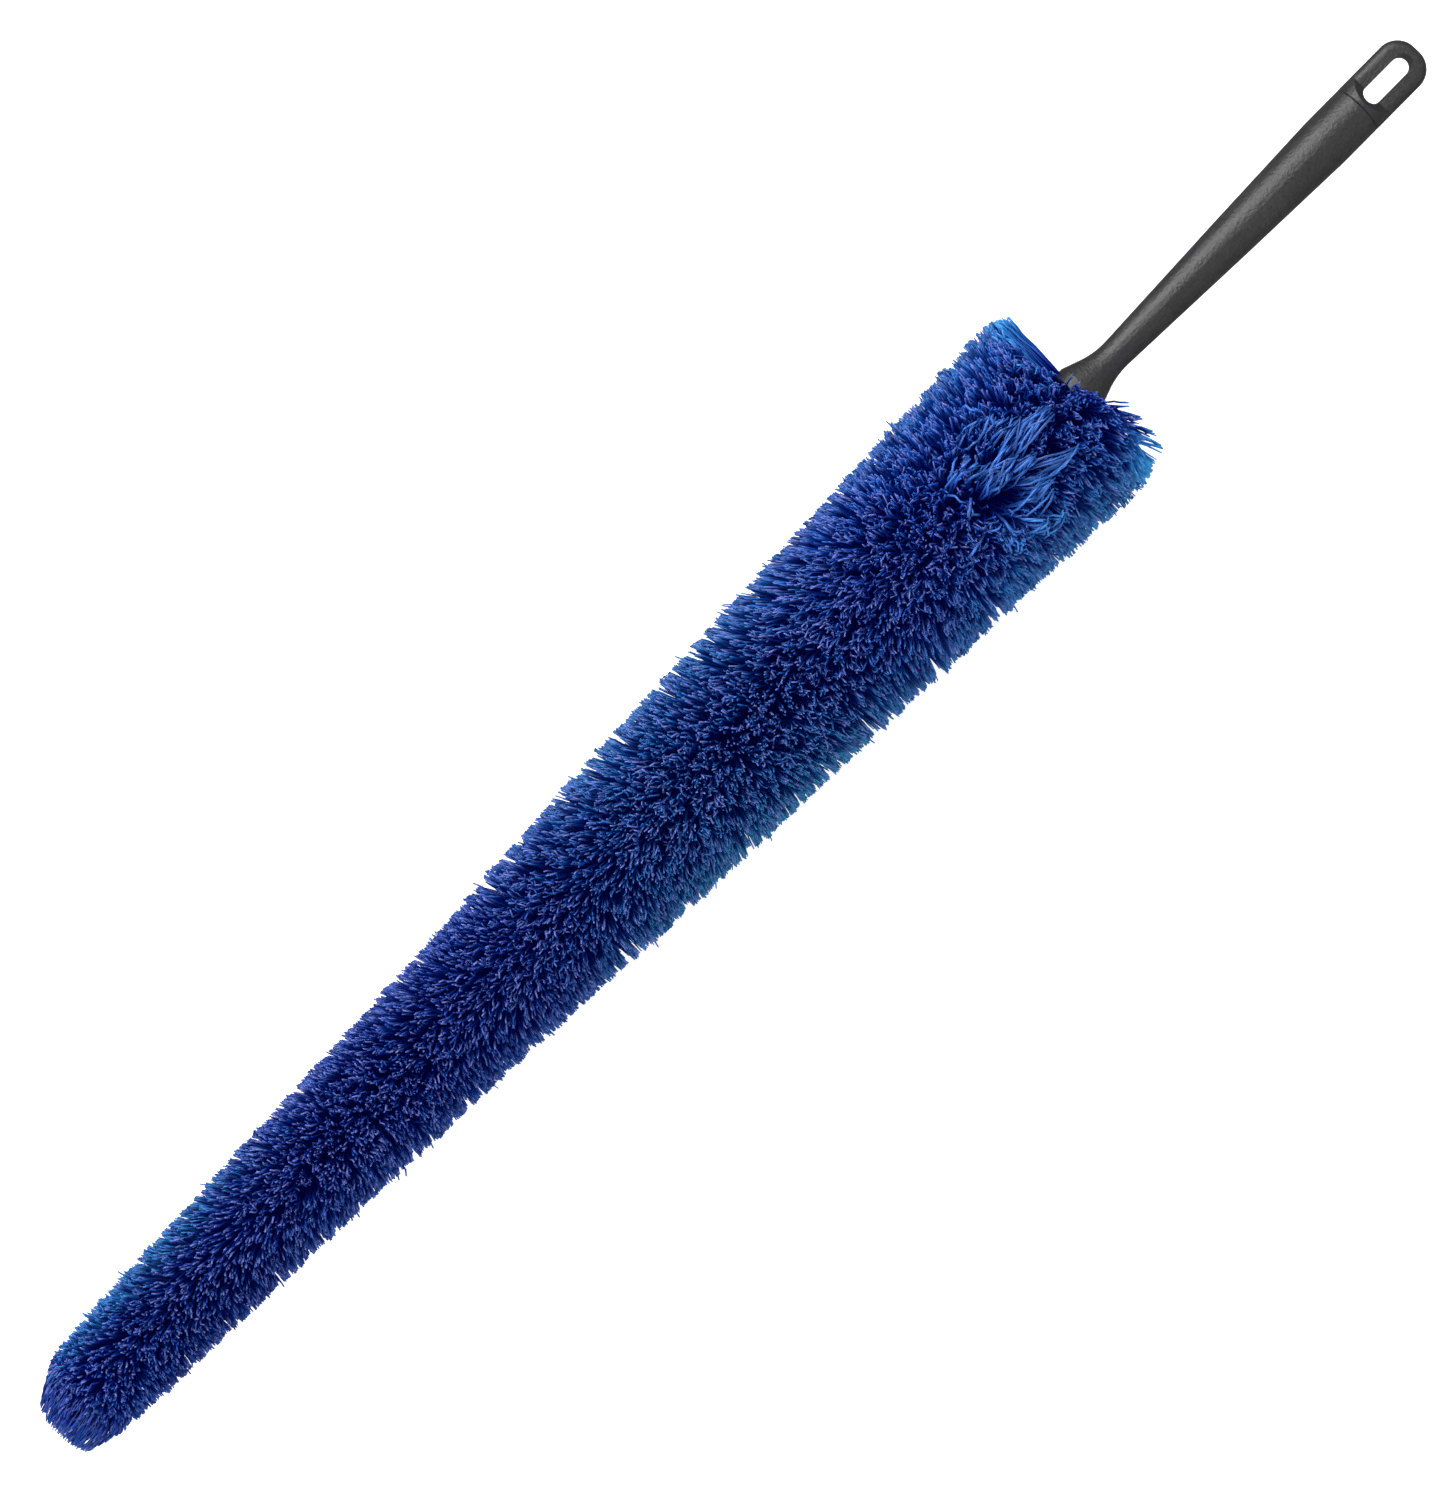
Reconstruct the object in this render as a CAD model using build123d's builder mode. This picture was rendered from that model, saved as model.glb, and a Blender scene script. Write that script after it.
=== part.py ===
from build123d import *
import os

os.makedirs("parts", exist_ok=True)

# A long tapered wheel brush, lying along X with its nose at -X and its hanging loop at +X.
# The origin is under the middle of the brush, on the surface that the widest filaments touch.
# All dimensions are in millimetres.

# Overall
overall_length = 610.0
head_length = 459.0  # filament head, from the nose to its flat end around the handle
cap_length = 26.5  # what shows of the hanging cap, behind the seam

# Filament head
turn_count = 24  # full turns of the twisted wire, one band of filaments each
head_end_radius = 35.5  # at the handle
head_end_round = 3.5
head_end_land = 4.0  # the widest filaments, in front of the flat end
shoulder_radius = 17.5  # where the cone begins, behind the rounded nose
nose_flat_radius = 10.0
nose_arc_at = (7.0, 14.6)  # a point of the nose's round, from its tip: along X, radius
filament_bore_radius = 3.2

# Twisted core wire, bent double at the nose
wire_radius = 1.4
leg_offset = 1.55  # from the brush's axis to each leg's centre: the filaments lie in the gap
bend_from_nose = 12.6

# Vinyl cap over the wire's bend
end_cap_wall = 1.6
end_cap_skirt = 6.0  # length behind the centre of the bend
end_cap_room = 0.3

# Handle
grip_radius = 8.75
grip_length = 14.5  # straight stretch in front of the seam
bell_radius = 8.85
bell_mouth_radius = 7.1
bell_mouth_depth = 8.0
bell_land = 3.9
bell_edge_round = 2.0
bell_inside_head = 3.0  # how far the bell's rim reaches into the filaments
neck_from_rim = 14.8
neck_corner_radius = 4.93  # radius at which the flare's line meets the grip's taper
neck_round = 26.0
swell_from_rim = 71.0  # where the grip's taper eases
swell_radius = 7.25
swell_round = 1500.0
grip_round = 60.0
rim_round = 0.5
wire_bore_radius = 3.2
rear_bore_radius = 5.2

# Fixing of the wire inside the handle
pocket_from_rim = 61.0
pocket_across_flats = 8.0
ferrule_across_flats = 7.9
ferrule_length = 11.5
clip_thickness = 0.5
clip_dish = 0.6
clip_teeth = 8
clip_notch_depth = 1.3
clip_notch_width = 1.2
press_gap = 0.05

# Hanging cap
spigot_length = 14.0
bead_from_seam = 10.0
bead_half_width = 0.8
bead_height = 0.35
key_width = 2.2
key_height = 0.8
flat_half_thickness = 4.5
shoulder_from_seam = 1.4
loop_corner_radius = 7.5
loop_edge_round = 3.0
slot_length = 20.0
slot_width = 6.0
slot_from_seam = 3.0
slot_rim_bevel = 0.6
seam_bevel = 0.3

# Places along X
nose_x = -overall_length / 2
rear_x = overall_length / 2
head_end_x = nose_x + head_length
land_x = head_end_x - head_end_land
turn_pitch = head_length / turn_count
rim_x = head_end_x - bell_inside_head
seam_x = rear_x - cap_length
grip_x = seam_x - grip_length
neck_x = rim_x + neck_from_rim
swell_x = rim_x + swell_from_rim
pocket_x = rim_x + pocket_from_rim
ferrule_end_x = pocket_x + ferrule_length
clip_x = ferrule_end_x + press_gap
bend_x = nose_x + bend_from_nose
slot_x = seam_x + slot_from_seam + slot_length / 2

# The brush's axis, the upright plane through it, and planes across it
axis_height = head_end_radius
brush_axis = Axis((0, 0, axis_height), (1, 0, 0))
long_plane = Plane(origin=(0, 0, axis_height), x_dir=(1, 0, 0), z_dir=(0, -1, 0))
flat_plane = Plane.XY.offset(axis_height)
end_cap_radius = leg_offset + wire_radius + press_gap + end_cap_wall
wire_envelope = leg_offset + wire_radius


def across(x):
    """The plane square to the brush's axis at x, with +Y to its right."""
    return Plane(origin=(x, 0, axis_height), x_dir=(0, 1, 0), z_dir=(1, 0, 0))


def head_radius(x):
    """The radius of the filament head's cone, from the nose's shoulder to its widest part."""
    cone_start_x = nose_x + turn_pitch
    along = (x - cone_start_x) / (land_x - cone_start_x)
    return shoulder_radius + along * (head_end_radius - shoulder_radius)


def save(part, name):
    part.label = name
    export_step(part, f"parts/{name}.step")


# Core wire: two legs twisted along the axis, joined by a half-round bend at the nose
with BuildPart() as core_wire:
    with BuildLine() as wire_axis:
        Line((bend_x, 0, axis_height), (ferrule_end_x, 0, axis_height))
    with BuildLine() as twist:
        Helix(
            pitch=turn_pitch,
            height=ferrule_end_x - bend_x,
            radius=leg_offset,
            center=(bend_x, 0, axis_height),
            direction=(1, 0, 0),
        )
    with BuildSketch(across(bend_x)):
        with PolarLocations(leg_offset, 2):
            Circle(wire_radius)
    sweep(path=wire_axis.line, binormal=twist.line.edge())
    with BuildSketch(across(bend_x)):
        with Locations((leg_offset, 0)):
            Circle(wire_radius)
    revolve(axis=Axis((bend_x, 0, axis_height), (0, 0, 1)), revolution_arc=180)
save(core_wire.part, "core_wire")

# Soft cap over the bend: a dome with a skirt, hollow to the wire's envelope
with BuildPart() as wire_end_cap:
    with BuildSketch(long_plane):
        with Locations((bend_x, 0)):
            Circle(end_cap_radius)
        with Locations((bend_x + end_cap_skirt / 2, 0)):
            Rectangle(end_cap_skirt, 2 * end_cap_radius)
            Rectangle(end_cap_skirt, 2 * (wire_envelope + press_gap), mode=Mode.SUBTRACT)
        with Locations((bend_x, 0)):
            Circle(wire_envelope + press_gap, mode=Mode.SUBTRACT)
        with Locations((bend_x, -end_cap_radius)):
            Rectangle(4 * end_cap_radius, 2 * end_cap_radius, mode=Mode.SUBTRACT)
    revolve(axis=brush_axis)
save(wire_end_cap.part, "wire_end_cap")

# Filaments of the first turn: they close over the wire's end as a rounded nose
end_cap_clear = end_cap_radius + end_cap_room
with BuildPart() as nose_band:
    with BuildSketch(long_plane):
        with BuildLine():
            Line((nose_x, 0), (nose_x, nose_flat_radius))
            ThreePointArc(
                (nose_x, nose_flat_radius),
                (nose_x + nose_arc_at[0], nose_arc_at[1]),
                (nose_x + turn_pitch, shoulder_radius),
            )
            Polyline(
                (nose_x + turn_pitch, shoulder_radius),
                (nose_x + turn_pitch, end_cap_clear),
                (bend_x, end_cap_clear),
            )
            CenterArc((bend_x, 0), end_cap_clear, 90, 90)
            Line((bend_x - end_cap_clear, 0), (nose_x, 0))
        make_face()
    revolve(axis=brush_axis)
save(nose_band.part, "bristle_turn_01")

# Filaments of the other turns up to the last: plain bands of the cone around the wire
for turn in range(2, turn_count):
    start_x = nose_x + (turn - 1) * turn_pitch
    end_x = start_x + turn_pitch
    with BuildPart() as band:
        with BuildSketch(long_plane):
            Polygon(
                (start_x, filament_bore_radius),
                (start_x, head_radius(start_x)),
                (end_x, head_radius(end_x)),
                (end_x, filament_bore_radius),
                align=None,
            )
        revolve(axis=brush_axis)
    save(band.part, f"bristle_turn_{turn:02d}")

# Filaments of the last turn: a flat end with a rounded rim, open around the handle's bell
last_start_x = head_end_x - turn_pitch
bell_clear = bell_radius + end_cap_room
with BuildPart() as last_band:
    with BuildSketch(long_plane):
        with BuildLine():
            FilletPolyline(
                (last_start_x, filament_bore_radius),
                (last_start_x, head_radius(last_start_x)),
                (land_x, head_end_radius),
                (head_end_x, head_end_radius),
                (head_end_x, bell_clear),
                (rim_x - end_cap_room, bell_clear),
                (rim_x - end_cap_room, filament_bore_radius),
                radius=(0, 0, 0, head_end_round, 0, 0, 0),
                close=True,
            )
        make_face()
    revolve(axis=brush_axis)
save(last_band.part, f"bristle_turn_{turn_count:02d}")

# Handle: a flared bell, a slim neck and a tapering grip, cored from both ends
with BuildPart() as handle_grip:
    with BuildSketch(long_plane):
        with BuildLine():
            Line((rim_x, wire_bore_radius), (rim_x, bell_radius))
            FilletPolyline(
                (rim_x, bell_radius),
                (rim_x + bell_land, bell_radius),
                (neck_x, neck_corner_radius),
                (swell_x, swell_radius),
                (grip_x, grip_radius),
                (seam_x, grip_radius),
                radius=(bell_edge_round, neck_round, swell_round, grip_round),
            )
            Polyline(
                (seam_x, grip_radius),
                (seam_x, wire_bore_radius),
                (rim_x, wire_bore_radius),
            )
        make_face()
    revolve(axis=brush_axis)
    with BuildSketch(long_plane):
        Polygon(
            (rim_x, 0),
            (rim_x, bell_mouth_radius),
            (rim_x + bell_mouth_depth, 0),
            align=None,
        )
    revolve(axis=brush_axis, mode=Mode.SUBTRACT)
    with BuildSketch(across(pocket_x)):
        RegularPolygon(pocket_across_flats / 2, 6, major_radius=False)
    extrude(amount=ferrule_length + press_gap, mode=Mode.SUBTRACT)
    with BuildSketch(across(seam_x)):
        Circle(rear_bore_radius)
    extrude(amount=clip_x - seam_x, mode=Mode.SUBTRACT)
    with BuildSketch(long_plane):
        with Locations((seam_x - bead_from_seam, rear_bore_radius)):
            Rectangle(2 * bead_half_width + press_gap, 2 * (bead_height + press_gap))
    revolve(axis=brush_axis, mode=Mode.SUBTRACT)
    with BuildSketch(across(seam_x)):
        with Locations((0, -rear_bore_radius)):
            Rectangle(key_width, 2 * (key_height + press_gap))
    extrude(amount=-spigot_length - press_gap, mode=Mode.SUBTRACT)
    seam_edges = handle_grip.edges().filter_by(GeomType.CIRCLE).group_by(Axis.X)[-1]
    chamfer(seam_edges.sort_by(SortBy.RADIUS)[-1], length=seam_bevel)
    rim_edges = handle_grip.edges().filter_by(GeomType.CIRCLE).group_by(Axis.X)[0]
    fillet(rim_edges, radius=rim_round)
save(handle_grip.part, "handle_grip")

# Hexagonal sleeve crimped over the wire's two ends
with BuildPart() as anchor_ferrule:
    with BuildSketch(across(pocket_x)):
        RegularPolygon(ferrule_across_flats / 2, 6, major_radius=False)
        Circle(wire_envelope + press_gap, mode=Mode.SUBTRACT)
    extrude(amount=ferrule_length)
save(anchor_ferrule.part, "anchor_ferrule")

# Dished spring clip behind the ferrule, with teeth that bite into the handle's bore
with BuildPart() as retaining_clip:
    with BuildSketch(long_plane):
        Polygon(
            (clip_x, wire_radius),
            (clip_x + clip_dish, rear_bore_radius - press_gap),
            (clip_x + clip_dish + clip_thickness, rear_bore_radius - press_gap),
            (clip_x + clip_thickness, wire_radius),
            align=None,
        )
    revolve(axis=brush_axis)
    with BuildSketch(across(clip_x)):
        with PolarLocations(rear_bore_radius, clip_teeth):
            Rectangle(clip_notch_depth * 2, clip_notch_width)
    extrude(amount=clip_dish + clip_thickness, mode=Mode.SUBTRACT)
save(retaining_clip.part, "retaining_clip")

# Hanging cap: a loop with flat faces behind the seam, and a spigot that snaps into the grip
shoulder_x = seam_x + shoulder_from_seam
flat_start_x = shoulder_x + grip_radius - flat_half_thickness
loop_start_x = seam_x + 2 * seam_bevel
spigot_radius = rear_bore_radius - press_gap
with BuildPart() as hang_cap:
    with BuildSketch(flat_plane):
        with BuildLine():
            FilletPolyline(
                (loop_start_x, -grip_radius),
                (rear_x, -grip_radius),
                (rear_x, grip_radius),
                (loop_start_x, grip_radius),
                radius=(0, loop_corner_radius, loop_corner_radius, 0),
                close=True,
            )
        make_face()
    extrude(amount=flat_half_thickness, both=True)
    flat_edges = hang_cap.faces().filter_by(Axis.Z).edges()
    fillet(flat_edges - flat_edges.group_by(Axis.X)[0], radius=loop_edge_round)
    with BuildSketch(long_plane):
        Polygon(
            (seam_x, 0),
            (seam_x, grip_radius - seam_bevel),
            (seam_x + seam_bevel, grip_radius),
            (flat_start_x, grip_radius),
            (flat_start_x, 0),
            align=None,
        )
    revolve(axis=brush_axis)
    with BuildSketch(long_plane):
        Polygon(
            (shoulder_x, grip_radius),
            (flat_start_x, flat_half_thickness),
            (flat_start_x, grip_radius),
            align=None,
        )
        mirror(about=flat_plane)
    extrude(amount=grip_radius, both=True, mode=Mode.SUBTRACT)
    with BuildSketch(flat_plane):
        with Locations((slot_x, 0)):
            SlotOverall(slot_length, slot_width)
    extrude(amount=grip_radius, both=True, mode=Mode.SUBTRACT)
    slot_levels = hang_cap.edges(Select.LAST).group_by(Axis.Z)
    chamfer(slot_levels[0] + slot_levels[-1], length=slot_rim_bevel)
    with BuildSketch(across(seam_x)):
        Circle(spigot_radius)
    extrude(amount=-spigot_length)
    chamfer(hang_cap.edges().group_by(Axis.X)[0], length=seam_bevel)
    with BuildSketch(long_plane):
        with Locations((seam_x - bead_from_seam, rear_bore_radius)):
            Rectangle(2 * bead_half_width, 2 * bead_height)
    revolve(axis=brush_axis)
    with BuildSketch(across(seam_x)):
        with Locations((0, -spigot_radius)):
            Rectangle(key_width - press_gap, 2 * key_height)
    extrude(amount=-spigot_length + seam_bevel)
save(hang_cap.part, "hang_cap")
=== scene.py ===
import math

import bpy
import numpy as np
from mathutils import Euler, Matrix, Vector
from mathutils.kdtree import KDTree


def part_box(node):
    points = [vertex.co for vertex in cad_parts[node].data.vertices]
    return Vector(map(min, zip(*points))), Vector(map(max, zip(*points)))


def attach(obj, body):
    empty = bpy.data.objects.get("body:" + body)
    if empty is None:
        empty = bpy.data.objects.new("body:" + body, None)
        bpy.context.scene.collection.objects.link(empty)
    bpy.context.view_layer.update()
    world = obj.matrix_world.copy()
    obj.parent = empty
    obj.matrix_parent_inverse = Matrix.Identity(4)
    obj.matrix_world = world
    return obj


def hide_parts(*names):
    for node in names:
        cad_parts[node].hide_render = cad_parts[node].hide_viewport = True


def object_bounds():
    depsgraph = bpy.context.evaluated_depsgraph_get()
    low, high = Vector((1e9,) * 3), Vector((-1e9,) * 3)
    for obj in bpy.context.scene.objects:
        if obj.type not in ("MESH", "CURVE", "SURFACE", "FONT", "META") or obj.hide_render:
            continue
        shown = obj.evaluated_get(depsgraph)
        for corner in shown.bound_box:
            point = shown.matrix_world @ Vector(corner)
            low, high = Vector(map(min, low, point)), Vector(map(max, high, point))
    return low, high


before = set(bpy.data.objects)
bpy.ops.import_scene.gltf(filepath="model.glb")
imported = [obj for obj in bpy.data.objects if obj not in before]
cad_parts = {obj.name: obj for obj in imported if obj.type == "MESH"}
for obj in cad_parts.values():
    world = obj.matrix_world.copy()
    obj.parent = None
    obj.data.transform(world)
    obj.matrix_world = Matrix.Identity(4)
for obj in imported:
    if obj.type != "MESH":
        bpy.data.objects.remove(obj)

cad_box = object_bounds()
scene = bpy.context.scene
rng = np.random.default_rng(24)

MM = 0.001
QUARTER = math.pi / 2

# ---------------------------------------------------------------- places, from the frame
bands = sorted(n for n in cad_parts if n.startswith("bristle_turn_"))
band_boxes = [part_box(n) for n in bands]
nose_x = band_boxes[0][0].x
head_end_x = band_boxes[-1][1].x
head_length = head_end_x - nose_x
band_pitch = head_length / len(bands)
grip_low, grip_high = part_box("handle_grip")
axis_z = (grip_low.z + grip_high.z) / 2
bell_x = grip_low.x
bell_radius = (grip_high.y - grip_low.y) / 2
wire_low, wire_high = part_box("core_wire")
wire_radius = (wire_high.y - wire_low.y) / 2
wire_end_low, wire_end_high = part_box("wire_end_cap")
cap_radius = (wire_end_high.y - wire_end_low.y) / 2
head_radius = (band_boxes[-1][1].y - band_boxes[-1][0].y) / 2
overall_length = cad_box[1].x - cad_box[0].x


# ---------------------------------------------------------------- material helpers
def new_material(name, roughness, specular=0.5, metallic=0.0):
    """An empty node material with its Principled shader's plain values set."""
    mat = bpy.data.materials.new(name)
    mat.use_nodes = True
    shader = mat.node_tree.nodes["Principled BSDF"]
    shader.inputs["Roughness"].default_value = roughness
    shader.inputs["Specular IOR Level"].default_value = specular
    shader.inputs["Metallic"].default_value = metallic
    return mat, mat.node_tree.nodes, mat.node_tree.links, shader


def noise(nodes, links, coords, scale, detail=4.0, rough=0.55):
    """A noise value, 0..1, with scale cells to the metre."""
    node = nodes.new("ShaderNodeTexNoise")
    node.inputs["Scale"].default_value = scale
    node.inputs["Detail"].default_value = detail
    node.inputs["Roughness"].default_value = rough
    links.new(coords, node.inputs["Vector"])
    return node.outputs["Fac"]


def ramp(nodes, links, fac, stops):
    """The colour at fac, between (place, colour) stops."""
    node = nodes.new("ShaderNodeValToRGB")
    links.new(fac, node.inputs["Fac"])
    elements = node.color_ramp.elements
    while len(elements) < len(stops):
        elements.new(0.5)
    for element, (place, colour) in zip(elements, stops):
        element.position = place
        element.color = (*colour, 1.0)
    return node.outputs["Color"]


def spread(nodes, links, fac, low, high):
    """Maps 0..1 to low..high."""
    node = nodes.new("ShaderNodeMapRange")
    node.inputs["To Min"].default_value = low
    node.inputs["To Max"].default_value = high
    links.new(fac, node.inputs["Value"])
    return node.outputs["Result"]


def share_of(nodes, links, value, low, high):
    """Maps low..high to 0..1."""
    node = nodes.new("ShaderNodeMapRange")
    node.inputs["From Min"].default_value = low
    node.inputs["From Max"].default_value = high
    links.new(value, node.inputs["Value"])
    return node.outputs["Result"]


def multiply(nodes, links, a, b):
    """The product of two colours."""
    node = nodes.new("ShaderNodeMix")
    node.data_type = "RGBA"
    node.blend_type = "MULTIPLY"
    node.inputs["Factor"].default_value = 1.0
    links.new(a, node.inputs["A"])
    links.new(b, node.inputs["B"])
    return node.outputs["Result"]


def tint(nodes, links, colour, amount, towards):
    """A colour mixed with a fixed one, where amount is 1."""
    node = nodes.new("ShaderNodeMix")
    node.data_type = "RGBA"
    node.inputs["B"].default_value = towards
    links.new(amount, node.inputs["Factor"])
    links.new(colour, node.inputs["A"])
    return node.outputs["Result"]


def add_bump(nodes, links, shader, height, strength, distance):
    """Raises the surface by height, 0..1, over distance in metres."""
    node = nodes.new("ShaderNodeBump")
    node.inputs["Strength"].default_value = strength
    node.inputs["Distance"].default_value = distance
    links.new(height, node.inputs["Height"])
    links.new(node.outputs["Normal"], shader.inputs["Normal"])


# ---------------------------------------------------------------- materials
# painted glint: cut tips lightened to stand in for the highlights they catch
PAINTED_TIP_GLINT = (0.19, 0.25, 0.72, 1.0)
PAINTED_BACKLIGHT = (0.05, 0.40, 0.86, 1.0)  # painted backlight: cyan light coming through the filaments
SCATTERED = (0.0, 0.02, 1.0, 1.0)  # light passed on from filament to filament
THROUGH = (0.01, 0.22, 0.75, 1.0)  # light that comes through a filament


def filament_material():
    """Blue crimped plastic, lighter at the cut tip; the strong blue at the root is painted light.

    The mesh attribute "fibre" holds, for each filament, the place along it in red, its shade
    in green, how far its tip carries a painted glint in blue, and painted backlight in alpha.
    """
    mat, nodes, links, shader = new_material("filament_blue", 0.24, specular=0.58)
    fibre = nodes.new("ShaderNodeAttribute")
    fibre.attribute_name = "fibre"
    split = nodes.new("ShaderNodeSeparateColor")
    links.new(fibre.outputs["Color"], split.inputs["Color"])
    along, tone, pale = split.outputs["Red"], split.outputs["Green"], split.outputs["Blue"]
    # the root's strong blue is painted light, scattered deep among the filaments
    body = ramp(nodes, links, along, [  # from root to tip
        (0.0, (0.001, 0.006, 0.420)),
        (0.6, (0.002, 0.018, 0.330)),
        (0.85, (0.004, 0.044, 0.370)),
        (0.97, (0.008, 0.082, 0.440)),
    ])
    shade = ramp(nodes, links, tone, [  # from the darkest filaments to the lightest
        (0.0, (0.20, 0.20, 0.38)),
        (0.5, (0.94, 0.93, 0.93)),
        (1.0, (2.15, 2.15, 1.75)),
    ])
    coords = nodes.new("ShaderNodeTexCoord").outputs["Object"]
    place = nodes.new("ShaderNodeSeparateXYZ")
    links.new(coords, place.inputs["Vector"])
    lengthwise = share_of(nodes, links, place.outputs["X"], nose_x, head_end_x)
    # painted light and shade along the head: lighter at the nose, darker behind it, lighter and
    # greener past the middle, lighter again towards the handle
    painted_light_along = ramp(nodes, links, lengthwise, [  # from the nose to the handle
        (0.0, (1.25, 1.30, 1.15)),
        (0.12, (0.95, 0.78, 0.78)),
        (0.45, (0.85, 0.76, 0.82)),
        (0.58, (1.25, 1.62, 0.97)),
        (0.70, (1.25, 1.55, 0.97)),
        (0.80, (1.05, 1.02, 1.00)),
        (0.88, (1.35, 1.28, 1.14)),
        (1.0, (1.60, 1.55, 1.28)),
    ])
    crosswise = share_of(nodes, links, place.outputs["Y"], -head_radius, head_radius)
    # painted light and shade across the head: lighter and cyan on the -Y flank, as light coming
    # through; darker over the top; highlights toned down, less red, on the +Y edge
    painted_side_light = ramp(nodes, links, crosswise, [  # from the -Y side over the top to the +Y side
        (0.0, (1.95, 2.10, 0.97)),
        (0.12, (1.75, 1.70, 1.02)),
        (0.25, (1.30, 1.00, 0.92)),
        (0.5, (1.10, 0.64, 0.76)),
        (0.8, (1.00, 0.86, 0.92)),
        (0.88, (1.04, 1.05, 0.98)),
        (1.0, (0.20, 1.05, 0.74)),
    ])
    colour = multiply(nodes, links, multiply(nodes, links, body, shade), painted_light_along)
    colour = multiply(nodes, links, colour, painted_side_light)
    # pale is a painted glint on the cut tips; then painted cyan backlight
    colour = tint(nodes, links, colour, pale, PAINTED_TIP_GLINT)
    colour = tint(nodes, links, colour, fibre.outputs["Alpha"], PAINTED_BACKLIGHT)
    links.new(colour, shader.inputs["Base Color"])
    shader.inputs["Emission Color"].default_value = SCATTERED
    shader.inputs["Emission Strength"].default_value = 0.014
    glow = nodes.new("ShaderNodeBsdfTranslucent")
    glow.inputs["Color"].default_value = THROUGH
    thin = nodes.new("ShaderNodeMixShader")
    thin.inputs["Fac"].default_value = 0.18
    links.new(shader.outputs["BSDF"], thin.inputs[1])
    links.new(glow.outputs["BSDF"], thin.inputs[2])
    links.new(thin.outputs["Shader"], nodes["Material Output"].inputs["Surface"])
    return mat


def moulded_plastic(name, base):
    """Dark polypropylene: satin, with a fine spark-eroded grain and slightly uneven gloss."""
    mat, nodes, links, shader = new_material(name, 0.4, specular=0.7)
    coords = nodes.new("ShaderNodeTexCoord").outputs["Object"]
    cloud = noise(nodes, links, coords, 60.0, detail=3.0)
    grain = noise(nodes, links, coords, 1000.0, detail=2.0, rough=0.7)
    worn = [c * 1.22 + 0.004 for c in base]
    colour = ramp(nodes, links, cloud, [(0.3, base), (0.75, worn)])
    speck = ramp(nodes, links, grain, [(0.35, (0.70, 0.70, 0.70)), (0.65, (1.40, 1.40, 1.40))])
    links.new(multiply(nodes, links, colour, speck), shader.inputs["Base Color"])
    links.new(spread(nodes, links, cloud, 0.33, 0.45), shader.inputs["Roughness"])
    add_bump(nodes, links, shader, grain, 0.9, 0.0003)
    return mat


def drawn_steel(name, base, roughness):
    """Zinc-coated drawn steel: fine lengthwise streaks and a mottled grey coat."""
    mat, nodes, links, shader = new_material(name, roughness, metallic=1.0)
    coords = nodes.new("ShaderNodeTexCoord").outputs["Object"]
    stretch = nodes.new("ShaderNodeMapping")
    stretch.inputs["Scale"].default_value = (0.15, 1.0, 1.0)
    links.new(coords, stretch.inputs["Vector"])
    streak = noise(nodes, links, stretch.outputs["Vector"], 2400.0, detail=3.0)
    mottle = noise(nodes, links, coords, 500.0, detail=4.0)
    dark = [c * 0.72 for c in base]
    links.new(ramp(nodes, links, mottle, [(0.35, dark), (0.65, base)]), shader.inputs["Base Color"])
    gloss = spread(nodes, links, mottle, roughness - 0.1, roughness + 0.15)
    links.new(gloss, shader.inputs["Roughness"])
    add_bump(nodes, links, shader, streak, 0.3, 0.00004)
    return mat


def soft_vinyl(name, base):
    """Dip-moulded vinyl: matte, with faint orange peel."""
    mat, nodes, links, shader = new_material(name, 0.55, specular=0.4)
    coords = nodes.new("ShaderNodeTexCoord").outputs["Object"]
    peel = noise(nodes, links, coords, 900.0, detail=2.0)
    lift = [c * 1.5 + 0.004 for c in base]
    links.new(ramp(nodes, links, peel, [(0.35, base), (0.7, lift)]), shader.inputs["Base Color"])
    links.new(spread(nodes, links, peel, 0.48, 0.62), shader.inputs["Roughness"])
    add_bump(nodes, links, shader, peel, 0.25, 0.0001)
    return mat


def dress(node, mat):
    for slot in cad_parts[node].material_slots:
        slot.link = "OBJECT"
        slot.material = mat


black = (0.012, 0.012, 0.013)
dress("handle_grip", moulded_plastic("handle_black", black))
dress("hang_cap", moulded_plastic("cap_black", [c * 0.96 for c in black]))
dress("core_wire", drawn_steel("galvanised_wire", (0.52, 0.53, 0.54), 0.38))
plated = drawn_steel("plated_steel", (0.44, 0.44, 0.45), 0.32)
dress("anchor_ferrule", plated)
dress("retaining_clip", plated)
dress("wire_end_cap", soft_vinyl("black_vinyl", (0.018, 0.018, 0.020)))

# ---------------------------------------------------------------- the filament head
# A filament's tip lies on the head's outline, at a place s along the head from the nose and
# an angle round it, where 0 is straight up and a quarter turn is +Y. Its root is on the wire.
OUTLINE = [(s * MM, r * MM) for s, r in (
    (0.0, 0.0), (0.0, 9.6), (1.6, 11.2), (6.0, 13.2), (12.0, 15.8), (22.0, 17.5), (110.0, 20.8),
    (190.0, 23.9), (250.0, 27.7), (340.0, 31.4), (449.0, 35.6), (454.0, 35.2), (459.0, 33.2),
)]
FILAMENTS = 36000
FILAMENT_RADIUS = 0.34 * MM
SIDES = 3

# Along each filament: the places of its cross sections, from root to tip, and at each its
# waver to the side and its thickness
STATIONS = np.array([0.0, 0.45, 0.70, 0.83, 0.92, 1.0])
CRIMP = np.array([0.0, 0.018, 0.026, 0.025, 0.024, 0.014])  # as a share of the length
TAPER = np.array([0.8, 1.0, 1.0, 1.0, 1.0, 0.75])

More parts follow.
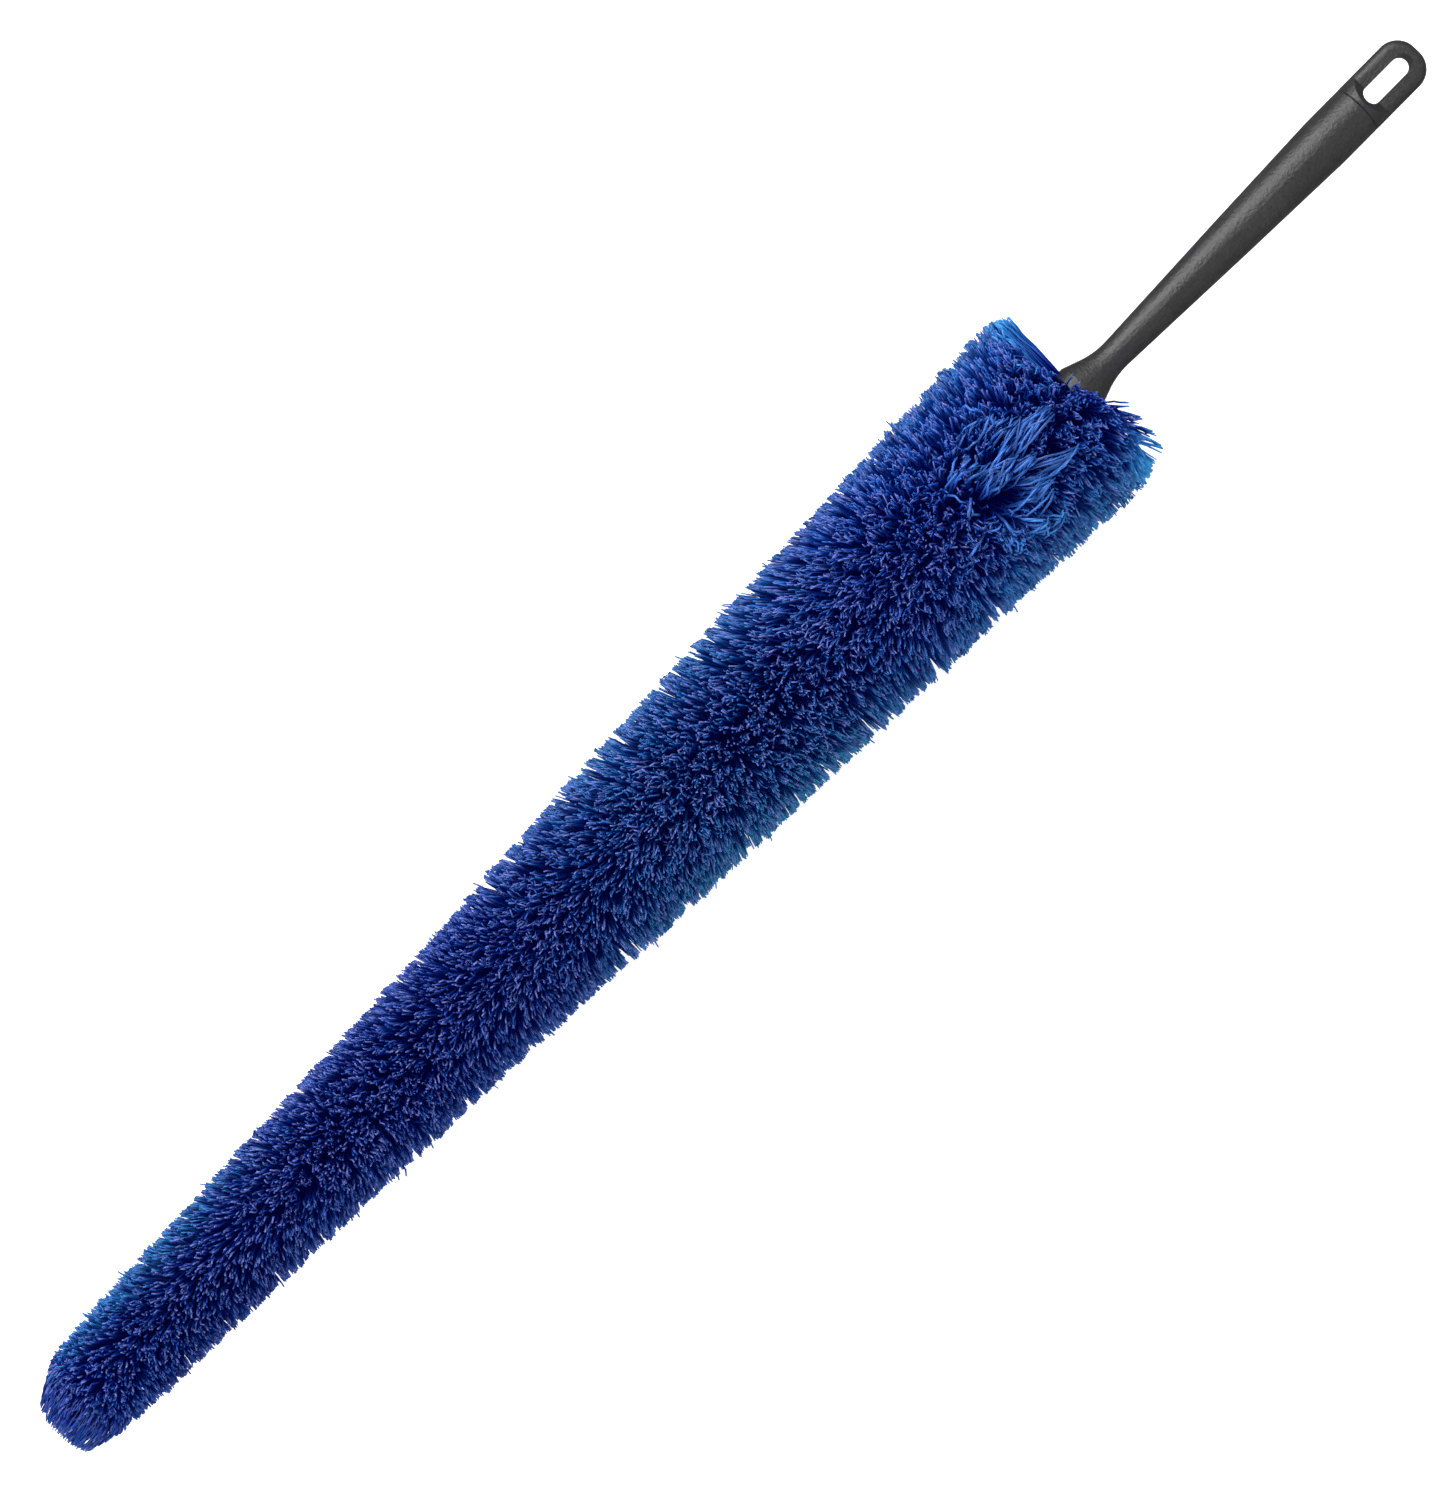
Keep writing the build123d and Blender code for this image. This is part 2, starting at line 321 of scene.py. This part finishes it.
# Filaments that lie over their neighbours rise first and bend over near the tip: their
# share of the way along the head, and of the way out, at each station
SWEPT_OVER = np.array([0.0, 0.06, 0.28, 0.52, 0.78, 1.0])
SWEPT_RISE = np.array([0.0, 0.72, 0.93, 0.99, 1.0, 0.99])
SWEPT_THICKER, SWEPT_STEADY = 1.35, 0.45  # times a plain filament's thickness and waver

TUFT_SIZE = 7  # filaments that draw together at their tips
TUFT_DRAW, SWEPT_DRAW = 0.24, 0.45  # how far they do
# Unevenness, as standard deviations: whole tufts, then each filament for itself
TUFT_SHIFT, OWN_SHIFT = 0.6 * MM, 0.4 * MM  # of the tips, along the head
TUFT_TURN, OWN_TURN = 0.022, 0.016  # of the tips, round the head, in radians
TUFT_LENGTH, OWN_LENGTH = 0.22 * MM, 0.18 * MM
ROOT_SHIFT, ROOT_TURN = 2.4 * MM, 0.10  # of the roots, along the wire and round it
STRAY_SHARE, STRAY_LENGTH = 0.010, (0.5, 2.2)  # strays stand out by so many mm
TRIMMED_OFF = 0.35 * MM  # from the outline, so that uneven tips keep to it
GOLDEN_ANGLE = math.pi * (3 - math.sqrt(5))

# Shades: each filament takes one column of its band's UV map, and all in a column match.
# The plain columns come first, then those painted with backlight, then those of swept ones.
COLUMNS = 128
COLUMNS_BACKLIT = 16
COLUMNS_SWEPT = 16
COLUMNS_PLAIN = COLUMNS - COLUMNS_BACKLIT - COLUMNS_SWEPT
FILAMENT_UV = "OFBake"

outline_s = np.array([s for s, _ in OUTLINE])
outline_r = np.array([r for _, r in OUTLINE])


def outline_radius(s):
    """The outline's radius at a place along the head."""
    return np.interp(s, outline_s[1:], outline_r[1:])


def tips_on_outline(count):
    """Places spread evenly over the outline's surface: s, radius and angle of each."""
    run = np.hypot(np.diff(outline_s), np.diff(outline_r))
    area = run * (outline_r[1:] + outline_r[:-1])
    reach = np.concatenate([[0.0], np.cumsum(area)]) / area.sum()
    order = np.arange(count)
    share = (order + 0.5 + rng.normal(0.0, 4.0, count)) / count
    share = np.clip(share, 0.0, 1.0)
    length = np.concatenate([[0.0], np.cumsum(run)])
    at = np.interp(share, reach, length)
    turn = order * GOLDEN_ANGLE + rng.normal(0.0, 0.02, count)
    return np.interp(at, length, outline_s), np.interp(at, length, outline_r), turn


def wrapped(angle):
    """The same angle, between -pi and pi."""
    return (angle + math.pi) % (2 * math.pi) - math.pi


def smooth(x, low, high):
    """0 up to low, 1 from high on, and a soft step between."""
    t = np.clip((x - low) / (high - low), 0.0, 1.0)
    return t * t * (3 - 2 * t)


def waves(s, turn, seed, count=7):
    """A smooth, uneven field over the head, about -1 to 1."""
    own = np.random.default_rng(seed)
    total = np.zeros_like(s)
    for _ in range(count):
        rate = own.uniform(20.0, 75.0)
        around = own.integers(-2, 3)
        total += np.sin(s * rate + around * turn + own.uniform(0.0, 2 * math.pi))
    return total / math.sqrt(count)


s_tip, r_tip, turn_tip = tips_on_outline(FILAMENTS)
on_disc = r_tip < outline_r[1]
side = np.sin(turn_tip)
facing = np.cos(turn_tip)

# Lean: filaments lean towards the nose, more on the +Y side, and stand up straight on the
# nose and by the handle
LEAN, LEAN_SIDE, LEAN_UNEVEN = -10.0, -5.0, 7.0  # degrees
CROWN_S, CROWN_TURN = 411.0 * MM, 0.10  # the crown's middle
LEAN_FROM, LEAN_FULL, LEAN_FADE = 10.0 * MM, 40.0 * MM, 45.0 * MM
lean = np.radians(LEAN + LEAN_SIDE * side + LEAN_UNEVEN * waves(s_tip, turn_tip, 3))
lean *= smooth(s_tip, LEAN_FROM, LEAN_FULL) * (1 - smooth(s_tip, CROWN_S - LEAN_FADE, CROWN_S))
s_root = s_tip - r_tip * np.tan(lean)

# The nose: roots sit on the wire's end cap and behind it, and the filaments close forward
# over it, most of all those that end on the nose's flat
NOSE_REACH = 34.0 * MM
nose_root = wire_end_high.x - nose_x - 3.0 * MM  # on the cap's skirt, near its rear edge
closing = 1 - smooth(s_tip - 0.5 * np.maximum(0.0, outline_r[1] - r_tip), 0.0, NOSE_REACH)
s_root = s_root * (1 - closing) + (nose_root + 0.45 * s_tip) * closing
FIRST_ROOT, LAST_ROOT = nose_root - 2.0 * MM, head_length - 0.6 * MM
s_root = np.clip(s_root, FIRST_ROOT, LAST_ROOT)

# The handle end: the top of the last row stands back on the +Y half, which bares the flank
# of its side, and stands out a little on the -Y half
STEP_BACK, STEP_OUT = 7.0, 2.6  # mm, on its +Y half and on its -Y half
step_back = STEP_BACK * smooth(facing, 0.15, 0.60) * smooth(side, -0.15, 0.30)
step_back -= STEP_OUT * smooth(facing, 0.1, 0.4) * smooth(-side, 0.30, 0.60)
step_back *= smooth(s_tip, 440 * MM, 459 * MM) * MM
s_tip -= step_back
s_root -= step_back

# The crown: filaments near one point lie over the ones beyond it, in a fan towards the
# handle and -Y
FAN_WAY, FAN_WIDTH = 0.75, 1.15  # radians from straight towards the handle
SWEPT_REACH, CROWN_HEART = 17.0 * MM, 8.0 * MM
along = s_tip - CROWN_S
across = -wrapped(turn_tip - CROWN_TURN) * r_tip
far = np.hypot(along, across) + 1e-6
way = np.arctan2(across, along)
in_fan = np.exp(-(((way - FAN_WAY) / FAN_WIDTH) ** 4))
OPENED, OPENED_FAN, OPENED_REACH = 1.0, 6.0, 22.0 * MM  # mm, and how far round the crown
opened = (OPENED + OPENED_FAN * in_fan) * MM * np.exp(-((far / OPENED_REACH) ** 2))
swept = (far < SWEPT_REACH) & (rng.uniform(0, 1, FILAMENTS) < 0.9 * in_fan)
swept |= (far < CROWN_HEART) & (rng.uniform(0, 1, FILAMENTS) < 0.6)
stray_way = rng.normal(FAN_WAY, 0.6, FILAMENTS)
way = np.where((far < CROWN_HEART) & (in_fan < 0.3), stray_way, way)
covered = np.where(swept, 0.0, in_fan * np.exp(-(((far / MM - 19) / 12) ** 4)))  # beneath

# Tufts: neighbours draw together at their tips, each tuft with its own length and tilt
places = np.stack([s_tip, np.sin(turn_tip) * r_tip, np.cos(turn_tip) * r_tip], axis=1)
heads = rng.choice(FILAMENTS, FILAMENTS // TUFT_SIZE, replace=False)
tree = KDTree(len(heads))
for k, h in enumerate(heads):
    tree.insert(places[h], k)
tree.balance()
tuft = np.array([tree.find(p)[1] for p in places])
tuft_shade = rng.normal(0.0, 1.0, len(heads))[tuft]
tuft_length = rng.normal(0.0, TUFT_LENGTH, len(heads))[tuft]
opened *= rng.uniform(0.5, 1.1, len(heads))[tuft]
laid_over = rng.uniform(7, 15, len(heads))[tuft] + rng.uniform(-1.5, 1.5, FILAMENTS)  # mm
opened += swept * laid_over * MM
lock = way[heads][tuft] + rng.normal(0.0, 0.16, len(heads))[tuft]
way = np.where(swept, lock + rng.normal(0.0, 0.05, FILAMENTS), way)
s_tip += opened * np.cos(way)
turn_tip -= opened * np.sin(way) / np.maximum(r_tip, 5 * MM)
PRESSED = 1.8  # mm, by which the covered ones are held down
lying = covered * PRESSED * MM - swept * rng.uniform(-0.6, 0.5, FILAMENTS) * MM
trim = smooth(s_tip, 0.0, 14 * MM)  # the nose is cut off clean
draw = np.where(swept, SWEPT_DRAW, TUFT_DRAW)
s_tip += draw * (s_tip[heads][tuft] - s_tip)
wild = smooth(s_tip, 360 * MM, 425 * MM)  # tufts are less even around the crown
s_tip += trim * (1 + 1.2 * wild) * rng.normal(0, TUFT_SHIFT, len(heads))[tuft]
turn_tip += draw * wrapped(turn_tip[heads][tuft] - turn_tip)
turn_tip += (1 + 0.8 * wild) * rng.normal(0, TUFT_TURN, len(heads))[tuft]
s_tip += trim * rng.normal(0, OWN_SHIFT, FILAMENTS)
turn_tip += rng.normal(0, OWN_TURN, FILAMENTS)

# Partings: lines across the head where the filaments stand apart. The widest are given as
# place and width in mm, on the +Y side and on the -Y side.
PARTINGS_PLUS_Y = (
    (378, 0.8), (339, 1.6), (325, 0.9), (314, 0.7), (299, 0.9), (277, 0.9),
    (252, 1.0), (216, 1.3), (175, 1.0), (128, 0.9), (83, 1.1), (46, 0.8),
)
PARTINGS_MINUS_Y = (
    (7, 0.8), (10, 0.7), (14, 0.8), (18, 0.6), (391, 0.9), (356, 0.75), (318, 0.8),
    (283, 1.0), (232, 0.9), (196, 0.7), (147, 0.9), (101, 0.8), (64, 0.7),
)
WIDEN = 1.2  # times the widths above
partings = [(s * MM, QUARTER, WIDEN * w * MM) for s, w in PARTINGS_PLUS_Y]
partings += [(s * MM, -QUARTER, WIDEN * w * MM) for s, w in PARTINGS_MINUS_Y]
for flank_turn in (QUARTER, -QUARTER):
    for place in np.arange(24.0, 445.0, 7.0):  # every 7 mm, from behind the nose
        partings.append((
            (place + rng.uniform(-2.8, 2.8)) * MM,
            flank_turn + rng.normal(0.0, 0.1),
            rng.uniform(0.25, 0.80) * MM,
        ))
for _ in range(40):  # and some anywhere
    partings.append((
        rng.uniform(0.06, 0.86) * head_length,
        rng.uniform(-math.pi, math.pi),
        rng.uniform(0.4, 1.0) * MM,
    ))
lean_tip = np.arctan2(s_tip - s_root, r_tip)
push = np.zeros(FILAMENTS)
step = np.zeros(FILAMENTS)  # the trimmed ends step down across a parting
calm = np.zeros(FILAMENTS)  # filaments beside a parting are straighter
PARTING_REACH = 3.5 * MM  # how far filaments on either side are pushed
PARTING_SPAN = (0.70, 1.05)  # radians to each end, where a parting starts to close and is closed
PARTING_EDGE = 0.10 * MM
PARTING_STEP = 0.28 * MM  # between the trimmed ends on its two sides
CALM_WIDTH = 0.6 * MM  # filaments beside a parting as wide as this are straight
for place, angle, width in partings:
    delta = wrapped(turn_tip - angle)
    off = s_tip - (place - np.tan(lean_tip) * r_tip * (1 - np.cos(delta)))
    window = 1 - smooth(np.abs(delta), *PARTING_SPAN)
    near = np.exp(-np.abs(off) / PARTING_REACH) * window
    push += np.tanh(off / PARTING_EDGE) * width * near
    calm = np.maximum(calm, near * min(1.0, width / CALM_WIDTH))
    step += PARTING_STEP * np.sign(off) * near
s_tip += push * smooth(s_tip, 2 * MM, 12 * MM)
s_root += (1 - calm) * rng.normal(0, ROOT_SHIFT, FILAMENTS)
s_root = np.clip(s_root, FIRST_ROOT, LAST_ROOT)

# Length: the trimmed outline, a little uneven, with a few strays
ragged = smooth(s_tip, 446 * MM, 457 * MM)  # the last row
own_shift = rng.normal(0, 0.6 * MM, FILAMENTS)
tuft_shift = np.where(side > 0.15, 0.5, 2.0) * MM * rng.normal(0, 1, len(heads))[tuft]
s_tip += ragged * (own_shift + tuft_shift)
s_tip = np.clip(s_tip, 0.0, head_length + 4.5 * MM)
uneven = (1 + 1.6 * wild) * tuft_length + rng.normal(0.0, OWN_LENGTH, FILAMENTS)
uneven *= 0.1 + 0.9 * trim
stray = rng.uniform(0, 1, FILAMENTS) < STRAY_SHARE
uneven += stray * rng.uniform(*STRAY_LENGTH, FILAMENTS) * MM
r_end = np.where(on_disc, r_tip, outline_radius(s_tip)) + uneven + step * trim - lying
r_end = np.clip(r_end - TRIMMED_OFF, 0.3 * MM, head_radius + 1.2 * MM)

# Roots: in the wire, or on the end cap's skirt at the nose; clear of the bell at the handle
turn_root = turn_tip + rng.normal(0.0, ROOT_TURN, FILAMENTS)
r_root = np.full(FILAMENTS, 0.8 * wire_radius)
r_root = np.where(s_root < wire_end_high.x - nose_x, cap_radius, r_root)
r_root = np.where(s_root > bell_x - nose_x - 0.5 * MM, bell_radius, r_root)

# Shades: plain ones at random, lightened around the crown by painted light; painted backlight,
# cyan light coming through, in the last row and on the +Y flank near the nose; and their own,
# with a little painted glint and backlight, for filaments lying over
column_tone = np.sort(np.clip(rng.normal(0.5, 0.24, COLUMNS), 0, 1))
# random tone, plus painted light: filaments lifted around the crown are picked lighter
tone_and_painted_light_pick = rng.uniform(0, 1, FILAMENTS) + 0.10 * tuft_shade
tone_and_painted_light_pick += 0.35 * np.minimum(opened / (8 * MM), 1)
column = (np.clip(tone_and_painted_light_pick, 0, 0.999) * COLUMNS_PLAIN).astype(int)
end_row = (s_root > head_length - 7.0 * MM) & ((side > 0.1) | (side < -0.8))
nose_flank = 0.9 * smooth(side, 0.52, 0.90)
nose_flank *= smooth(s_tip, 8 * MM, 25 * MM) * (1 - smooth(s_tip, 60 * MM, 125 * MM))
backlit_pick = rng.integers(0, COLUMNS_BACKLIT, FILAMENTS)
on_flank = rng.uniform(0, 1, FILAMENTS) < nose_flank
column = np.where(on_flank, COLUMNS_PLAIN + 1 + backlit_pick * 3 // 8, column)
column = np.where(end_row, COLUMNS_PLAIN + 4 + backlit_pick * 3 // 4, column)
column = np.where(swept, COLUMNS_PLAIN + COLUMNS_BACKLIT + backlit_pick, column)
backlit_columns = slice(COLUMNS_PLAIN, COLUMNS_PLAIN + COLUMNS_BACKLIT)
swept_columns = slice(COLUMNS_PLAIN + COLUMNS_BACKLIT, COLUMNS)
column_tone[backlit_columns] = np.linspace(0.24, 1.0, COLUMNS_BACKLIT)
column_tone[swept_columns] = np.linspace(0.05, 0.90, COLUMNS_SWEPT)
# painted glint on the tips of some plain columns, and a little on swept ones
column_glint = (rng.uniform(0, 1, COLUMNS) < 0.3) * rng.uniform(0.1, 0.8, COLUMNS)
column_glint[backlit_columns] = 0.0
column_glint[swept_columns] = 0.10
column_backlight = np.zeros(COLUMNS)
column_backlight[backlit_columns] = np.linspace(0.15, 0.95, COLUMNS_BACKLIT)
column_backlight[swept_columns] = 0.13
column_along = np.tile(STATIONS, (COLUMNS, 1))
column_along[swept_columns] = SWEPT_RISE


def filament_paths():
    """Centre line of every filament at each station, as an array [filament, station, xyz]."""
    t = STATIONS[None, :]
    droop = 1.5 + 0.16 * opened[:, None] / MM  # filaments that lie over bend near their tips
    bent = swept[:, None]
    over = np.where(bent, SWEPT_OVER[None, :], t ** droop)
    rise = np.where(bent, SWEPT_RISE[None, :], t)
    s = s_root[:, None] + (s_tip - s_root)[:, None] * over
    r = r_root[:, None] + (r_end - r_root)[:, None] * rise
    r = r + (closing * 4.0 * MM)[:, None] * np.sin(t * math.pi)
    turn = turn_root[:, None] + wrapped(turn_tip - turn_root)[:, None] * np.where(bent, over, t)
    steady = (1 - 0.9 * calm) * (1 - 0.3 * closing) * (1 - 0.7 * ragged)
    steady *= np.where(swept, SWEPT_STEADY, 1.0)
    waver = CRIMP[None, :] * (r_end * steady)[:, None]
    s = s + rng.normal(0, 1, s.shape) * waver
    turn = turn + rng.normal(0, 1, s.shape) * waver / np.maximum(r, 4 * MM)
    points = np.stack([s + nose_x, np.sin(turn) * r, np.cos(turn) * r + axis_z], axis=2)
    curl = np.clip(1 - s / (16.0 * MM), 0.0, 1.0)  # the nose bends a little towards -Y
    points[..., 1] -= 2.8 * MM * curl
    return points


def tubes(paths, radii):
    """Vertices [filament, station, side, xyz] of a closed thin tube along each path."""
    step = np.gradient(paths, axis=1)
    step /= np.linalg.norm(step, axis=2, keepdims=True)
    across = np.cross(step, np.array([1.0, 0.0, 0.0]))
    weak = np.linalg.norm(across, axis=2, keepdims=True) < 0.05
    across = np.where(weak, np.cross(step, np.array([0.0, 0.0, 1.0])), across)
    across /= np.linalg.norm(across, axis=2, keepdims=True)
    up = np.cross(step, across)
    start = rng.uniform(0, 2 * math.pi, (len(paths), 1))
    rings = []
    for k in range(SIDES):
        angle = start + 2 * math.pi * k / SIDES
        offset = np.cos(angle)[..., None] * across + np.sin(angle)[..., None] * up
        rings.append(paths + offset * radii[:, :, None])
    return np.stack(rings, axis=2)


paths = filament_paths()
thickness = rng.uniform(0.85, 1.15, (FILAMENTS, 1)) * FILAMENT_RADIUS
thickness *= np.where(swept, SWEPT_THICKER, 1.0)[:, None]
verts = tubes(paths, thickness * TAPER[None, :])


def filament_faces(count):
    """The side quads and two end caps of count tubes: corner vertices, corners per face."""
    base = (np.arange(count) * len(STATIONS) * SIDES)[:, None, None, None]
    ring = (np.arange(len(STATIONS) - 1) * SIDES)[None, :, None, None]
    k = np.arange(SIDES)
    k_next = (k + 1) % SIDES
    quad = np.stack([k, k_next, k_next + SIDES, k + SIDES], axis=1)[None, None]
    quads = (base + ring + quad).reshape(-1, 4)
    first = base.reshape(-1, 1)
    root_caps = first + k[::-1][None, :]
    tip_caps = first + (len(STATIONS) - 1) * SIDES + k[None, :]
    corners = np.concatenate([quads.ravel(), root_caps.ravel(), tip_caps.ravel()])
    sizes = np.concatenate([np.full(len(quads), 4), np.full(2 * count, SIDES)])
    return corners, sizes


def make_band(name, node, chosen, mat):
    """One mesh of all the filaments rooted in one turn of the wire."""
    count = len(chosen)
    points = verts[chosen].reshape(-1, 3)
    corners, sizes = filament_faces(count)
    mesh = bpy.data.meshes.new(name)
    mesh.vertices.add(len(points))
    mesh.vertices.foreach_set("co", points.astype(np.float32).ravel())
    mesh.loops.add(len(corners))
    mesh.loops.foreach_set("vertex_index", corners.astype(np.int32))
    mesh.polygons.add(len(sizes))
    starts = np.concatenate([[0], np.cumsum(sizes)[:-1]])
    mesh.polygons.foreach_set("loop_start", starts.astype(np.int32))
    mesh.update(calc_edges=True)
    mesh.shade_smooth()

    shape = (count, len(STATIONS), SIDES)
    lane = column[chosen][:, None, None]  # each filament's column
    data = np.ones((*shape, 4), np.float32)
    reach = column_along[column[chosen]][:, :, None]
    data[..., 0] = reach
    data[..., 1] = column_tone[lane]
    # painted glint near the tip in blue, painted backlight in alpha
    data[..., 2] = column_glint[lane] * (reach > 0.9)
    data[..., 3] = column_backlight[lane] * reach
    fibre = mesh.attributes.new("fibre", "FLOAT_COLOR", "POINT")
    fibre.data.foreach_set("color", data.ravel())

    u = (lane + np.linspace(0.2, 0.8, SIDES)[None, None, :]) / COLUMNS
    v = 0.01 + 0.98 * STATIONS[None, :, None]
    uv = np.stack([np.broadcast_to(u, shape), np.broadcast_to(v, shape)], axis=3).reshape(-1, 2)
    layer = mesh.uv_layers.new(name=FILAMENT_UV)
    layer.data.foreach_set("uv", uv[corners].astype(np.float32).ravel())

    mesh.materials.append(mat)
    ob = bpy.data.objects.new(name, mesh)
    scene.collection.objects.link(ob)
    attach(ob, "root")
    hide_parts(node)
    return ob


filament_blue = filament_material()
band_of = np.clip((s_root / band_pitch).astype(int), 0, len(bands) - 1)
for index, node in enumerate(bands):
    name = "filaments_" + node.rsplit("_", 1)[1]
    make_band(name, node, np.flatnonzero(band_of == index), filament_blue)


# ---------------------------------------------------------------- studio
def backdrop():
    """A wide pale floor that curves up into walls far from the brush."""
    flat_radius, bend, height, steps, turns = 4.0, 2.0, 3.0, 12, 96
    line = [(0.0, 0.0), (flat_radius, 0.0)]
    for k in range(1, steps + 1):
        a = k / steps * QUARTER
        line.append((flat_radius + bend * math.sin(a), bend * (1 - math.cos(a))))
    line.append((flat_radius + bend, bend + height))
    points, faces = [(0.0, 0.0, 0.0)], []
    for radius, z in line[1:]:
        for k in range(turns):
            a = 2 * math.pi * k / turns
            points.append((radius * math.cos(a), radius * math.sin(a), z))
    for k in range(turns):
        faces.append((0, 1 + k, 1 + (k + 1) % turns))  # the flat middle
    for row in range(len(line) - 2):
        for k in range(turns):
            a, b = 1 + row * turns + k, 1 + row * turns + (k + 1) % turns
            faces.append((a, a + turns, b + turns, b))
    mesh = bpy.data.meshes.new("backdrop")
    mesh.from_pydata(points, [], faces)
    mesh.shade_smooth()
    mat, _, _, shader = new_material("backdrop_white", 0.9, specular=0.1)
    shader.inputs["Base Color"].default_value = (0.93, 0.93, 0.93, 1.0)
    shader.inputs["Emission Color"].default_value = (1.0, 1.0, 1.0, 1.0)
    shader.inputs["Emission Strength"].default_value = 0.45
    mesh.materials.append(mat)
    ob = bpy.data.objects.new("backdrop", mesh)
    ob.location.z = cad_box[0].z - 1.5 * MM
    ob.visible_glossy = False
    scene.collection.objects.link(ob)


def softbox(name, direction, distance, size, energy):
    """A rectangular area light aimed at the brush's middle, long side along X."""
    light = bpy.data.lights.new(name, "AREA")
    light.shape = "RECTANGLE"
    light.size, light.size_y = size
    light.energy = energy
    ob = bpy.data.objects.new(name, light)
    way = Vector(direction).normalized()
    ob.location = Vector((0.0, 0.0, axis_z)) + way * distance
    tilt = math.atan2(way.y, way.z)
    ob.rotation_euler = Euler((-tilt, 0.0, 0.0))
    scene.collection.objects.link(ob)
    return ob


backdrop()
softbox("key", (0.0, 0.74, 0.67), 1.0, (1.5, 0.8), 15.0)
fill = softbox("fill", (0.0, -0.75, 0.66), 1.3, (1.6, 0.7), 5.0)
fill.visible_glossy = False


def studio_world():
    """Soft white light from above, and little from below the horizon."""
    world = bpy.data.worlds.new("studio")
    world.use_nodes = True
    nodes, links = world.node_tree.nodes, world.node_tree.links
    place = nodes.new("ShaderNodeSeparateXYZ")
    links.new(nodes.new("ShaderNodeTexCoord").outputs["Generated"], place.inputs["Vector"])
    height = spread(nodes, links, place.outputs["Z"], 0.5, 1.0)
    sky = ramp(nodes, links, height, [(0.45, (0.08, 0.08, 0.08)), (0.65, (0.47, 0.47, 0.47))])
    links.new(sky, nodes["Background"].inputs["Color"])
    return world


scene.world = studio_world()
scene.view_settings.view_transform = "Standard"

# ---------------------------------------------------------------- camera
# Straight down on the brush, rolled so that it lies on the picture's rising diagonal.
ROLL = math.radians(45.3)
SENSOR, LENS = 36.0, 100.0
FRAME_LONG = 0.776 * overall_length  # what the picture's long side spans at the brush
OFF_CENTRE = (3.5 * MM, 3.9 * MM)  # the brush's middle, right of and above the picture's
right = Vector((math.cos(ROLL), -math.sin(ROLL), 0.0))
above = Vector((math.sin(ROLL), math.cos(ROLL), 0.0))
middle = Vector(((cad_box[0].x + cad_box[1].x) / 2, 0.0, axis_z))
camera_data = bpy.data.cameras.new("camera")
camera_data.lens = LENS
camera_data.sensor_width = SENSOR
camera_data.clip_end = 50.0
camera = bpy.data.objects.new("camera", camera_data)
camera.location = middle - right * OFF_CENTRE[0] - above * OFF_CENTRE[1]
camera.location.z = axis_z + FRAME_LONG * LENS / SENSOR
camera.rotation_euler = Euler((0.0, 0.0, -ROLL))
scene.collection.objects.link(camera)
scene.camera = camera
